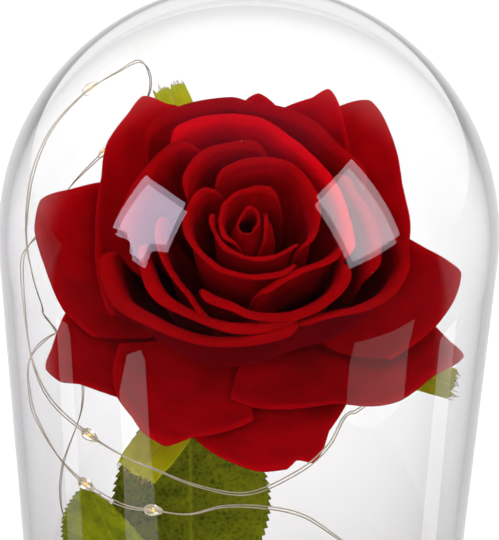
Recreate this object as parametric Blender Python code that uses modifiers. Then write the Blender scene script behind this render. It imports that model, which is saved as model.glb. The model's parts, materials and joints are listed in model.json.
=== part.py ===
"""A velvet rose under a clear glass dome, on a turned foot, with leaves and a light string.

The origin is the middle of the foot's underside, +Z is up and the rose bows towards -Y.
"""

import math

import bmesh
import bpy
import numpy as np
from mathutils import Matrix, Vector

MM = 0.001
GAP = 0.3 * MM

# The foot
FOOT_RADIUS = 61.5 * MM
FOOT_HEIGHT = 25.0 * MM
STEP_HEIGHT = 21.0 * MM
STEP_RADIUS = 51.8 * MM
FOOT_SIDES = 36
SOCKET_RADIUS = 2.8 * MM
SOCKET_DEPTH = 12.0 * MM
STRING_HOLE = Vector((-24.0, 22.0, 0.0)) * MM
STRING_HOLE_RADIUS = 1.6 * MM

# The battery box in the foot's underside
BOX_SIZE = Vector((62.0, 44.0, 12.0)) * MM
BOX_FLOOR = 0.6 * MM

# The dome: a half-round top on a straight cylinder, with a wall that thickens towards the top
DOME_RADIUS = 55.0 * MM
DOME_WALL = 2.2 * MM
DOME_CENTRE = 166.0 * MM
DOME_TOP_EXTRA = 2.0 * MM
DOME_STEPS = 32
DOME_ARC_STEPS = 7

# The rose's own axis, through the middle of the ring of outer petals
ROSE_CENTRE = Vector((0.0, 0.0, 155.0)) * MM
ROSE_BOW = math.radians(32.0)

FABRIC = 0.42 * MM
ROLL = 1.8
ROLL_SHARE = 0.10
LIP_START = 0.86
SEPAL_FABRIC = 0.45 * MM
LEAF_FABRIC = 0.6 * MM

# The meridians of the nested cups that the petals lie on, in mm from the rose's axis and over its ring.
# Each row: the lane, then the foot, two handles and the rim of the curve.
LANES = (
    (4, (1.5, -2.0), (3.5, 4.0), (4.4, 16.0), (4.0, 28.0)),
    (12, (2.8, -5.5), (10.5, -1.0), (12.6, 14.5), (12.0, 27.3)),
    (20, (4.1, -9.0), (17.5, -5.5), (20.6, 12.5), (20.0, 26.0)),
    (28, (5.4, -12.0), (23.5, -9.5), (28.0, 9.3), (28.0, 24.0)),
    (36, (6.6, -14.7), (28.0, -13.0), (34.3, 5.0), (36.0, 20.5)),
    (40, (7.1, -15.9), (29.6, -14.3), (37.3, 3.6), (40.0, 17.5)),
    (44, (7.6, -17.0), (31.0, -15.5), (40.0, 2.0), (52.0, 11.0)),
    (52, (8.5, -19.0), (31.0, -18.0), (41.5, -5.0), (53.0, 2.0)),
    (60, (9.2, -21.0), (28.0, -21.5), (40.0, -13.0), (52.0, -11.0)),
)

# Crown petals, middle to edge: (angle in degrees, rim's distance from the axis in mm) along each rim.
# 0 is the viewer's right, 90 the back and 270 the front.
CROWN_PETALS = {
    "petal_heart": ((41, 9.5), (61, 8.3), (82, 7.5), (112, 6.8), (153, 6.2), (197, 6.2), (255, 7.0)),
    "petal_collar": ((163, 8.3), (188, 8.0), (221, 8.2), (252, 8.9), (277, 9.6), (318, 11.2), (338, 12.4)),
    "petal_cowl": ((-32, 12.9), (-20, 13.9), (0, 14.8), (28, 15.0), (60, 17.0), (84, 15.7), (128, 12.9)),
    "petal_crescent": ((130, 9.9), (151, 12.6), (182, 13.4), (235, 13.0), (265, 13.6), (318, 14.8)),
    "petal_hood": ((78, 19.8), (97, 20.3), (116, 20.3), (129, 19.2), (139, 18.0), (155, 15.8)),
    "petal_chin": ((236, 19.0), (258, 19.4), (270, 19.8), (295, 20.6), (322, 20.6)),
    "petal_cheek": ((264, 21.9), (276, 22.7), (296, 23.8), (318, 24.6), (334, 24.9)),
    "petal_lip": ((172, 19.4), (185, 19.7), (209, 20.3), (233, 21.2), (243, 22.6), (252, 24.1), (260, 24.8)),
    "petal_crest": (
        (-20, 22.6), (-8, 21.5), (10, 20.4), (39, 20.9), (67, 22.8), (90, 28.2), (112, 30.2), (130, 28.6),
    ),
    "petal_brow": ((118, 23.0), (131, 26.0), (150, 25.6), (172, 26.2), (186, 26.8)),
    "petal_jaw": ((190, 24.2), (209, 25.2), (237, 26.4), (256, 27.2), (267, 26.6), (280, 25.9)),
    "petal_right": ((-24, 27.9), (0, 26.3), (10, 25.2), (22, 24.2), (38, 24.2)),
    "petal_back": (
        (26, 29.4), (47, 28.3), (67, 30.8), (80, 32.4), (90, 33.2), (97, 36.0), (113, 37.3), (135, 35.6),
    ),
    "petal_front_left": (
        (188, 32.6), (202, 33.0), (212, 33.8), (229, 32.2), (254, 31.6), (273, 30.0), (297, 29.2),
    ),
    "petal_front_right": ((303, 27.2), (312, 29.2), (324, 32.4), (340, 35.4), (349, 36.2), (362, 34.2)),
}

# Outer petals: (angle, lane) along the petal, then (angle, reach from the axis in mm) along its edge.
OUTER_PETALS = {
    "outer_petal_1": (
        ((98, 42.8), (147, 42.0), (170, 40.0), (198, 38.5)),
        (
            (98, 42.0), (110, 43.5), (116, 45.5), (121.5, 49.3), (128, 46.8),
            (138, 44.2), (147, 40.3), (167, 34.8), (198, 31),
        ),
    ),
    "outer_petal_2": (
        ((134, 45.0), (202, 44.0)),
        ((134, 36), (145, 41.7), (155, 45.6), (163, 50.2), (171, 48.8), (180, 45.1), (194, 40.9), (202, 36)),
    ),
    "outer_petal_3": (
        ((178, 47.6), (234, 47.2)),
        ((178, 36), (192, 41.0), (205, 45.8), (211, 49.3), (216, 47.8), (218, 44.1), (223, 40.5), (234, 34)),
    ),
    "outer_petal_4": (
        ((205, 43.4), (268, 43.4)),
        ((205, 31), (218, 36.2), (227, 39.7), (236, 42.1), (243, 45.1), (250, 46.4), (254, 39.5), (268, 28)),
    ),
    "outer_petal_5": (
        ((246, 49.0), (316, 49.0)),
        (
            (246, 33), (253, 36.5), (264, 41.8), (275, 46.1), (281, 45.9),
            (284.5, 43.5), (288, 45.5), (298, 37.8), (316, 32),
        ),
    ),
    "outer_petal_6": (
        ((270, 41.0), (300, 41.5), (312, 43.5), (325, 46.5), (339, 51.0), (358, 50.0)),
        (
            (270, 22), (284, 27.2), (294, 31), (302, 34.5), (307, 39.5), (316, 44.5),
            (329, 46.5), (338, 51.0), (342, 46.5), (358, 36),
        ),
    ),
    "outer_petal_7": (
        ((-30, 43.5), (0, 44.2), (30, 45.6)),
        ((-30, 36), (-17, 42.9), (-10, 45.3), (-2, 46.9), (2, 45.1), (11, 41.1), (21, 37.7), (30, 34)),
    ),
    "outer_petal_8": (
        ((2, 41.2), (18, 42.2), (34, 43.4), (72, 43.8)),
        ((2, 34), (18, 38.3), (34, 41.9), (47, 46.6), (57, 50.8), (64, 45.6), (72, 40)),
    ),
    "outer_petal_9": (
        ((46, 40.1), (90, 40.1)),
        ((46, 34), (56, 38.5), (66, 44.2), (70, 41), (82, 37), (90, 34)),
    ),
    "outer_petal_10": (
        ((66, 46.0), (112, 45.6)),
        ((66, 38), (74, 43.5), (81, 44.8), (88, 47.8), (94, 44.8), (112, 37)),
    ),
}
RIM_OVERRUN = 11.0
RIM_DIP = 0.3
SPREAD_END = 0.55
FOOT_WIDTH = 0.3
DEGREES_PER_COLUMN = 19.0
PETAL_ROWS = (0.0, 0.3, 0.56, 0.78, 0.92, 1.0)

# Sepals: middle angle, lane, half-width in degrees, reach in mm
SEPALS = (
    (241.0, 60.0, 11.0, 51.0),
    (333.0, 60.0, 8.5, 51.3),
    (41.0, 54.0, 10.0, 44.0),
    (112.0, 48.5, 8.5, 54.0),
    (173.0, 57.0, 10.0, 42.0),
)

# The stem's bent line in mm
STEM_RADIUS = 2.2 * MM
STEM_PATH = (
    (0, 6, 13.4), (0, 6.5, 34), (-0.5, 12, 60), (0, 19, 87), (0, 23.4, 108),
    (0, 22.3, 118.6), (0, 16.96, 127.9),
)

# Each leaf in mm: foot of the blade, tip, the way it faces, half its width and the height of its stalk
LEAVES = (
    {"foot": (-12, -13, 70), "tip": (-13.5, 0, 125), "face": (0.1, -1, -0.2), "half": 19.0, "stalk": 54.0},
    {"foot": (-27, -20, 64), "tip": (-34, -26, 114.5), "face": (-0.5, -1, 0.1), "half": 14.0, "stalk": 46.0},
)
STALK_RADIUS = 0.9 * MM
LEAF_ROWS = 13
LEAF_COLUMNS = 4

# The light string's route in mm, from the battery box to its tail on the foot
STRING_RADIUS = 0.4 * MM
STRING_POINTS = 78
STRING_ROUTE = (
    (-24, 22, 13.2), (-24, 22, 26), (-33, 29, 38.4), (-42, 22, 55.6), (-47.5, 10, 75.1), (-48, 12, 90),
    (-43, 20, 104), (-42, 14, 122), (-44.5, 2, 138), (-44, -10, 149), (-43.5, -18, 156),
    (-42, -25, 162), (-43, -26, 169), (-44.5, -22, 176), (-45.4, -12.6, 181), (-45.6, -5, 183.5),
    (-44.4, 0, 187), (-42.4, 3, 190.3), (-39, 6, 193.8), (-34.8, 9, 197), (-29.6, 14, 199), (-26, 25, 198),
    (-24.5, 34, 192), (-25, 38.5, 185), (-29, 39, 177), (-36, 34, 171), (-43, 26, 166), (-46, 18, 163),
    (-48, 7, 162.5), (-48.6, -3, 164.5), (-48.7, -10, 164.6), (-48.5, -13, 159.6), (-47.5, -17, 153),
    (-45, -23, 146), (-40, -31, 142), (-31.5, -39.5, 140), (-24, -44, 138), (-18, -46.5, 137),
    (-9, -49.3, 135), (1, -50, 134), (11, -48.8, 139), (16.5, -47, 144), (19.5, -41, 146),
    (22, -30, 140), (25, -19, 133), (33, -4, 129), (41, 10, 128), (42, 24, 127), (30, 38, 123),
    (8, 47.5, 120), (-16, 45.5, 120), (-36, 33, 124), (-47, 12, 132), (-49, -10, 139),
    (-47.5, -18, 133.5), (-44, -25, 131), (-39, -32, 128), (-33, -38, 126), (-25, -44, 125.5),
    (-18, -46.8, 126.5), (-11, -49, 127.5), (-4, -50, 130.5), (4, -50, 130.5), (12, -48.8, 127.5),
    (20, -46, 119), (30, -40.5, 106), (40, -30, 90), (45, -18, 70.2), (45, -9, 48.2), (40, -2, 33.6),
    (32, 2, 27), (22, 2, 26.5),
)
LIGHTS = (
    (-34.8, 9, 197), (-31.5, -39.5, 140), (-33, -38, 126), (-18, -46.8, 126.5), (-36, 34, 171),
    (41, 10, 128), (-16, 45.5, 120), (-47.5, 10, 75.1), (40, -30, 90), (22, 2, 26.5),
)
LIGHT_SWELL = 2.6


def smooth(points, x):
    """A curve through the points, with no overshoot, read at x."""
    xs, ys = np.array(points, float).T
    steps = np.diff(xs)
    slopes = np.diff(ys) / steps
    tangents = np.zeros(len(xs))
    tangents[0], tangents[-1] = slopes[0], slopes[-1]
    for i in range(1, len(xs) - 1):
        if slopes[i - 1] * slopes[i] > 0:
            tangents[i] = 2 * slopes[i - 1] * slopes[i] / (slopes[i - 1] + slopes[i])
    x = min(max(x, xs[0]), xs[-1])
    i = min(int(np.searchsorted(xs, x, side="right")) - 1, len(steps) - 1)
    t = (x - xs[i]) / steps[i]
    start = ys[i] * (1 + 2 * t) * (1 - t) ** 2 + steps[i] * tangents[i] * t * (1 - t) ** 2
    end = ys[i + 1] * t * t * (3 - 2 * t) + steps[i] * tangents[i + 1] * t * t * (t - 1)
    return start + end


def meridian(lane, s):
    """Distance from the rose's axis and height over its ring, in mm, at share s along a lane's curve."""
    handles = []
    for column in range(1, 5):
        handles.append([smooth([(row[0], row[column][k]) for row in LANES], lane) for k in range(2)])
    foot, low, high, rim = np.array(handles)
    r = 1 - s
    point = r**3 * foot + 3 * r * r * s * low + 3 * r * s * s * high + s**3 * rim
    roll = min(ROLL, ROLL_SHARE * lane)
    lip = max(0.0, (s - LIP_START) / (1 - LIP_START)) ** 2
    body = min(1.0, s / LIP_START)
    return point[0] - roll * body + roll * lip, point[1] - 0.4 * roll * lip


def share_at(lane, reach):
    """The share along a lane's curve at which it is reach mm from the axis."""
    shares = np.linspace(0.3, 1.15, 60)
    distances = np.maximum.accumulate([meridian(lane, s)[0] for s in shares])
    return float(np.interp(reach, distances, shares))


def material(name, colour, roughness, transmission=0.0):
    """A Principled material of one colour."""
    made = bpy.data.materials.new(name)
    made.use_nodes = True
    shader = made.node_tree.nodes["Principled BSDF"]
    shader.inputs["Base Color"].default_value = (*colour, 1.0)
    shader.inputs["Roughness"].default_value = roughness
    shader.inputs["Transmission Weight"].default_value = transmission
    return made


def add(name, mesh, collection, look, parent=None):
    """An object in the collection, with its material."""
    made = bpy.data.objects.new(name, mesh)
    collection.objects.link(made)
    made.parent = parent
    if look:
        mesh.materials.append(look)
    return made


def mesh_of(bm, name):
    """The mesh of a finished bmesh."""
    mesh = bpy.data.meshes.new(name)
    bm.to_mesh(mesh)
    bm.free()
    return mesh


def sheet(name, place, columns, rows, thickness, collection, look, parent=None):
    """A fabric sheet: a grid moved to place(u, v), with u across from -1 to 1 and v along from 0 to 1."""
    bm = bmesh.new()
    bmesh.ops.create_grid(bm, x_segments=columns, y_segments=rows, size=1.0)
    for vertex in bm.verts:
        vertex.co = place(vertex.co.x, (vertex.co.y + 1) / 2)
    made = add(name, mesh_of(bm, name), collection, look, parent)
    shell = made.modifiers.new("fabric", "SOLIDIFY")
    shell.thickness = thickness
    shell.offset = 0.0
    made.data.shade_smooth()
    return made


def turned(name, profile, steps, collection, look, parent=None):
    """A solid turned from (radius, height) points that run top to bottom on its outer side."""
    bm = bmesh.new()
    points = [bm.verts.new((radius, 0.0, height)) for radius, height in profile]
    for first, second in zip(points, points[1:]):
        bm.edges.new((first, second))
    made = add(name, mesh_of(bm, name), collection, look, parent)
    screw = made.modifiers.new("turn", "SCREW")
    screw.steps = screw.render_steps = steps
    screw.use_merge_vertices = True
    screw.merge_threshold = 0.00002
    screw.use_normal_calculate = True
    return made


def tube(name, points, radius, collection, look, swells=None):
    """A round tube with filled ends through the points, with a swelling at some of them."""
    curve = bpy.data.curves.new(name, "CURVE")
    curve.dimensions = "3D"
    curve.bevel_depth = radius
    curve.bevel_resolution = 2
    curve.use_fill_caps = True
    line = curve.splines.new("POLY")
    line.points.add(len(points) - 1)
    for i, point in enumerate(points):
        line.points[i].co = (*point, 1.0)
        line.points[i].radius = swells[i] if swells else 1.0
    made = bpy.data.objects.new(name, curve)
    collection.objects.link(made)
    curve.materials.append(look)
    return made


def through(route, count):
    """Evenly spaced points on a smooth curve through the route's own points."""
    route = [Vector(p) for p in route]
    ends = [route[0] * 2 - route[1]] + route + [route[-1] * 2 - route[-2]]
    fine = []
    for i in range(len(route) - 1):
        a, b, c, d = ends[i : i + 4]
        for k in range(12):
            t = k / 12
            bend, twist = 2 * a - 5 * b + 4 * c - d, 3 * b - a - 3 * c + d
            fine.append(0.5 * (2 * b + (c - a) * t + bend * t * t + twist * t**3))
    fine.append(route[-1])
    along = np.concatenate([[0], np.cumsum([(q - p).length for p, q in zip(fine, fine[1:])])])
    wanted = np.linspace(0, along[-1], count)
    spots = np.array([list(p) for p in fine])
    return [Vector([np.interp(w, along, spots[:, k]) for k in range(3)]) for w in wanted]


def cutter(name, mesh, matrix, collection):
    """A helper that cuts and isn't part of the object."""
    made = add(name, mesh, collection, None)
    made.matrix_world = matrix
    made.hide_render = True
    made.display_type = "WIRE"
    return made


def cut(target, tool):
    """Takes the tool's volume out of the target."""
    made = target.modifiers.new(tool.name, "BOOLEAN")
    made.operation = "DIFFERENCE"
    made.solver = "EXACT"
    made.object = tool


def rod_mesh(name, radius, length, sides=16):
    """A closed cylinder along Z about its middle."""
    bm = bmesh.new()
    bmesh.ops.create_cone(
        bm, cap_ends=True, segments=sides, radius1=radius, radius2=radius, depth=length
    )
    return mesh_of(bm, name)


def box_mesh(name, size):
    """A closed box about its middle."""
    bm = bmesh.new()
    bmesh.ops.create_cube(bm, size=1.0)
    bmesh.ops.scale(bm, vec=size, verts=bm.verts)
    return mesh_of(bm, name)


def make_foot(parts, cutters):
    """The wooden foot, with its step, stem socket, string hole and battery pocket."""
    wood = material("foot_wood", (0.42, 0.24, 0.12), 0.45)
    r, h = FOOT_RADIUS, FOOT_HEIGHT
    outline = [(0, h), (STEP_RADIUS - 0.6 * MM, h), (STEP_RADIUS, h - 0.6 * MM), (STEP_RADIUS, STEP_HEIGHT)]
    outline += [(r - 2.0 * MM, STEP_HEIGHT), (r - 0.5 * MM, STEP_HEIGHT - 0.6 * MM)]
    outline += [(r, STEP_HEIGHT - 2.2 * MM), (r, 1.5 * MM), (r - 1.5 * MM, 0), (0, 0)]
    foot = turned("base", outline, FOOT_SIDES, parts, wood)
    socket = rod_mesh("stem_socket", SOCKET_RADIUS, SOCKET_DEPTH * 2)
    place = Matrix.Translation((0.0, STEM_PATH[0][1] * MM, FOOT_HEIGHT))
    cut(foot, cutter("stem_socket", socket, place, cutters))
    hole = rod_mesh("string_hole", STRING_HOLE_RADIUS, FOOT_HEIGHT)
    place = Matrix.Translation(STRING_HOLE + Vector((0, 0, FOOT_HEIGHT)))
    cut(foot, cutter("string_hole", hole, place, cutters))
    pocket = box_mesh("pocket", BOX_SIZE + Vector((0.6, 0.6, BOX_SIZE.z / MM + 0.6)) * MM)
    cut(foot, cutter("pocket", pocket, Matrix.Translation((0, 0, BOX_FLOOR)), cutters))


def make_battery_box(parts):
    """The light string's box, flush in the pocket."""
    plastic = material("box_plastic", (0.02, 0.02, 0.02), 0.4)
    box = add("battery_box", box_mesh("battery_box", BOX_SIZE), parts, plastic)
    box.location = (0, 0, BOX_FLOOR + BOX_SIZE.z / 2)


def make_dome(parts):
    """The clear bell, standing on the foot's step."""
    clear = material("dome_glass", (1.0, 1.0, 1.0), 0.02, 1.0)
    inner = DOME_RADIUS - DOME_WALL
    turns = [math.pi / 2 * i / DOME_ARC_STEPS for i in range(DOME_ARC_STEPS + 1)]
    outline = [(DOME_RADIUS * math.sin(a), DOME_CENTRE + DOME_RADIUS * math.cos(a)) for a in turns]
    floor = STEP_HEIGHT + GAP
    outline += [(DOME_RADIUS, floor + 0.8 * MM), (DOME_RADIUS - 0.7 * MM, floor), (inner + 0.7 * MM, floor)]
    outline += [(inner, floor + 0.8 * MM)]
    middle = DOME_CENTRE - DOME_TOP_EXTRA
    outline += [(inner * math.sin(a), middle + inner * math.cos(a)) for a in reversed(turns)]
    turned("glass_dome", outline, DOME_STEPS, parts, clear).data.shade_smooth()


def make_petals(parts, axis):
    """Every petal, from the heart to the outer ring."""
    velvet = material("petal_velvet", (0.32, 0.002, 0.01), 0.8)
    rows = len(PETAL_ROWS) - 1
    for name, rim in CROWN_PETALS.items():
        columns = round((rim[-1][0] - rim[0][0] + 2 * RIM_OVERRUN) / DEGREES_PER_COLUMN)
        sheet(name, crown_place(rim), columns, rows, FABRIC, parts, velvet, axis)
    for name, (lanes, reach) in OUTER_PETALS.items():
        sheet(name, outer_place(lanes, reach), len(reach) - 1, rows, FABRIC, parts, velvet, axis)


def petal_point(lanes, rim_angle, middle, along, top):
    """A petal's point: it leaves the calyx narrow and widens up its lane to its rim."""
    spread = min(1.0, along / SPREAD_END)
    width = FOOT_WIDTH + (1 - FOOT_WIDTH) * spread * spread * (3 - 2 * spread)
    angle = middle + (rim_angle - middle) * width
    distance, height = meridian(smooth(lanes, angle), along * top)
    turn = math.radians(angle)
    return Vector((distance * math.cos(turn), distance * math.sin(turn), height)) * MM


def row_share(v):
    """How far up the petal a row of the grid lies."""
    return PETAL_ROWS[round(v * (len(PETAL_ROWS) - 1))]


def crown_place(rim):
    """The place of a crown petal's points, which run on past both ends of its rim and dip out of sight."""
    first, last = rim[0][0] - RIM_OVERRUN, rim[-1][0] + RIM_OVERRUN
    middle, half = (first + last) / 2, (last - first) / 2

    def place(u, v):
        past = max(0.0, abs(u) * half - (half - RIM_OVERRUN)) / RIM_OVERRUN
        return petal_point(rim, middle + half * u, middle, row_share(v), 1.0 - RIM_DIP * past * past)

    return place


def outer_place(lanes, reach):
    """The place of an outer petal's points, with a column to each point of its edge."""
    middle = (reach[0][0] + reach[-1][0]) / 2

    def place(u, v):
        angle, distance = reach[round((u + 1) / 2 * (len(reach) - 1))]
        return petal_point(lanes, angle, middle, row_share(v), share_at(smooth(lanes, angle), distance))

    return place


def make_heart(parts, axis):
    """The tight bud in the middle, a cone with a spiral fold."""
    velvet = material("bud_velvet", (0.30, 0.002, 0.01), 0.8)
    outline = [(0, 27.6), (1.2, 27.2), (2.2, 24.5), (3.3, 20.5), (4.1, 15.5), (4.3, 11.0), (3.8, 6.5)]
    outline += [(2.6, 2.0), (1.3, -1.2), (0, -1.2)]
    bm = bmesh.new()
    points = [bm.verts.new((radius * MM, 0.0, height * MM)) for radius, height in outline]
    edges = [bm.edges.new(pair) for pair in zip(points, points[1:])]
    bmesh.ops.spin(
        bm, geom=points + edges, cent=(0, 0, 0), axis=(0, 0, 1), angle=math.tau, steps=14, use_duplicate=False
    )
    bmesh.ops.remove_doubles(bm, verts=bm.verts, dist=0.01 * MM)
    bmesh.ops.recalc_face_normals(bm, faces=bm.faces)
    for vertex in bm.verts:
        turn = math.atan2(vertex.co.y, vertex.co.x) + vertex.co.z / MM * 0.16
        swell = 1.0 + 0.10 * (turn / math.tau % 1.0)
        vertex.co.x *= swell
        vertex.co.y *= swell
    add("bud", mesh_of(bm, "bud"), parts, velvet, axis).data.shade_smooth()


def make_calyx(parts, axis):
    """The cone that the petals are fixed to, and the cup below it."""
    green = material("calyx_green", (0.16, 0.22, 0.05), 0.6)
    outline = [(0, -1.55), (0.6, -1.55)]
    outline += [(row[1][0] - 0.5, row[1][1] - 0.2) for row in LANES]
    outline += [(8.9, -22.6), (7.4, -25.2), (4.6, -28.0), (3.0, -30.0), (2.7, -31.5), (0, -31.5)]
    turned("calyx", [(r * MM, h * MM) for r, h in outline], 16, parts, green, axis).data.shade_smooth()


def make_sepals(parts, axis):
    """Five frayed sepals under the outer petals."""
    cloth = material("sepal_cloth", (0.45, 0.52, 0.10), 0.8)
    for number, (middle, lane, half, reach) in enumerate(SEPALS, start=1):
        end = share_at(lane, reach)

        def place(u, v, middle=middle, lane=lane, half=half, end=end):
            width = half * (0.55 + 0.9 * v - 0.95 * v * v)
            turn = math.radians(middle + width * u)
            distance, height = meridian(lane, 0.06 + v * (end - 0.06))
            return Vector((distance * math.cos(turn), distance * math.sin(turn), height)) * MM

        sheet(f"sepal_{number}", place, 3, 5, SEPAL_FABRIC, parts, cloth, axis)


def make_stem(parts):
    """The stem, from its socket to the calyx."""
    green = material("stem_green", (0.10, 0.20, 0.05), 0.55)
    tube("stem", through([Vector(p) * MM for p in STEM_PATH], 14), STEM_RADIUS, parts, green)


def make_leaves(parts):
    """The serrated leaves and their stalks."""
    cloth = material("leaf_cloth", (0.05, 0.12, 0.02), 0.7)
    green = material("stalk_green", (0.12, 0.20, 0.05), 0.6)
    for number, leaf in enumerate(LEAVES, start=1):
        foot, tip = Vector(leaf["foot"]) * MM, Vector(leaf["tip"]) * MM
        along = tip - foot
        face = Vector(leaf["face"])
        face = (face - along * (face.dot(along) / along.length_squared)).normalized()
        across = along.cross(face).normalized()

        def place(u, v, leaf=leaf, foot=foot, along=along, face=face, across=across):
            row = round(v * LEAF_ROWS)
            tooth = 0.6 * MM * (row % 2) * abs(u) ** 8
            width = leaf["half"] * MM * math.sin(math.pi * (0.03 + 0.94 * v) ** 0.9) ** 0.75 + tooth
            fold = 0.12 * abs(u) * width
            bow = 2.5 * MM * math.sin(math.pi * v)
            return foot + along * v + across * (u * width) + face * (fold - bow)

        sheet(f"leaf_{number}", place, LEAF_COLUMNS, LEAF_ROWS, LEAF_FABRIC, parts, cloth)
        height = leaf["stalk"] * MM
        joint = min(through([Vector(p) * MM for p in STEM_PATH], 60), key=lambda p: abs(p.z - height))
        side = (foot - joint) * Vector((1, 1, 0))
        start = joint + side.normalized() * (STEM_RADIUS + STALK_RADIUS + GAP)
        end = foot - along.normalized() * (0.6 * MM)
        lead = end - along.normalized() * (9 * MM)
        route = through([start, (start + lead) / 2, lead, end], 7)
        tube(f"leaf_stalk_{number}", route, STALK_RADIUS, parts, green)


def make_string(parts):
    """The light string, with a swelling for each light."""
    wire = material("string_wire", (0.55, 0.45, 0.35), 0.3)
    route = [Vector(p) * MM for p in STRING_ROUTE]
    points = through(route, STRING_POINTS)
    swells = [1.0] * len(points)
    for light in LIGHTS:
        spot = Vector(light) * MM
        nearest = min(range(len(points)), key=lambda i: (points[i] - spot).length)
        swells[nearest] = LIGHT_SWELL
    tube("light_string", points, STRING_RADIUS, parts, wire, swells)


def main():
    for old in list(bpy.data.objects):
        bpy.data.objects.remove(old, do_unlink=True)
    parts = bpy.data.collections.new("rose_in_glass_dome")
    cutters = bpy.data.collections.new("cutters")
    bpy.context.scene.collection.children.link(parts)
    bpy.context.scene.collection.children.link(cutters)
    cutters.hide_render = True
    axis = bpy.data.objects.new("rose_axis", None)
    parts.objects.link(axis)
    axis.location = ROSE_CENTRE
    axis.rotation_euler = (ROSE_BOW, 0.0, 0.0)
    make_foot(parts, cutters)
    make_battery_box(parts)
    make_dome(parts)
    make_stem(parts)
    make_calyx(parts, axis)
    make_heart(parts, axis)
    make_petals(parts, axis)
    make_sepals(parts, axis)
    make_leaves(parts)
    make_string(parts)
    bpy.context.view_layer.update()


main()
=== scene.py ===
"""The looks of the velvet rose in its glass dome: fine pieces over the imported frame, light and camera."""

import json
import math

import bmesh
import bpy
import numpy as np
from mathutils import Matrix, Vector

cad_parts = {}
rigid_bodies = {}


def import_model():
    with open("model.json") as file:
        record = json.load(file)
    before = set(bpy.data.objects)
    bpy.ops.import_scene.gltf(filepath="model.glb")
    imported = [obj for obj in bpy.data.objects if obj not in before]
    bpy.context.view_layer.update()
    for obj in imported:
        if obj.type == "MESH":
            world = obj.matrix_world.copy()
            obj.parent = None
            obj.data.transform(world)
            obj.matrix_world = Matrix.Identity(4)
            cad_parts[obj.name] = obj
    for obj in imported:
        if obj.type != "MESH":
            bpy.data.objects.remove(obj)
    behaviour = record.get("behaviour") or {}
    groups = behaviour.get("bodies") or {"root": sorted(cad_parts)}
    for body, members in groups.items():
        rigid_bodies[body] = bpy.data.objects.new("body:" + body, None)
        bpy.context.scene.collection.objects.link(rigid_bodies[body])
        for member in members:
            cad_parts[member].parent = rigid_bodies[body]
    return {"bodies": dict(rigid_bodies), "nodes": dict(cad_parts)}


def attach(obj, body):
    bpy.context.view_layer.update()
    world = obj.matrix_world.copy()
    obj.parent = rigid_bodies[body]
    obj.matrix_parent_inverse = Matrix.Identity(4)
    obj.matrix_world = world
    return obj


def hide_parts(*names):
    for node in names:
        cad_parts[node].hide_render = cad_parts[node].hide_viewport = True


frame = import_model()
for old in list(bpy.data.objects):
    if old not in frame["nodes"].values() and old not in frame["bodies"].values():
        bpy.data.objects.remove(old, do_unlink=True)
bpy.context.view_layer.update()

MM = 0.001

# The foot, the box in it and the dome, as in the source
FOOT_RADIUS = 61.5
FOOT_HEIGHT = 25.0
STEP_HEIGHT = 21.0
STEP_RADIUS = 51.8
SOCKET = (0.0, 6.0, 2.8, 12.0)
STRING_HOLE = (-24.0, 22.0, 1.6)
BOX_SIZE = Vector((62.0, 44.0, 12.0))
BOX_FLOOR = 0.6
DOME_RADIUS = 55.0
DOME_WALL = 2.2
DOME_CENTRE = 166.0
DOME_TOP_EXTRA = 1.2
DOME_GAP = 0.3

# The rose, as in the source
ROSE_CENTRE = np.array((0.0, 0.0, 155.0))
ROSE_BOW = math.radians(32.0)
FABRIC = 0.42
ROLL = 1.8
ROLL_SHARE = 0.10
LIP_START = 0.86
SEPAL_FABRIC = 0.45
LEAF_FABRIC = 0.6
LANES = (
    (4, (1.5, -2.0), (3.5, 4.0), (4.4, 16.0), (4.0, 28.0)),
    (12, (2.8, -5.5), (10.5, -1.0), (12.6, 14.5), (12.0, 27.3)),
    (20, (4.1, -9.0), (17.5, -5.5), (20.6, 12.5), (20.0, 26.0)),
    (28, (5.4, -12.0), (23.5, -9.5), (28.0, 9.3), (28.0, 24.0)),
    (36, (6.6, -14.7), (28.0, -13.0), (34.3, 5.0), (36.0, 20.5)),
    (40, (7.1, -15.9), (29.6, -14.3), (37.3, 3.6), (40.0, 17.5)),
    (44, (7.6, -17.0), (31.0, -15.5), (40.0, 2.0), (52.0, 11.0)),
    (52, (8.5, -19.0), (31.0, -18.0), (41.5, -5.0), (53.0, 2.0)),
    (60, (9.2, -21.0), (28.0, -21.5), (40.0, -13.0), (52.0, -11.0)),
)
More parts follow.
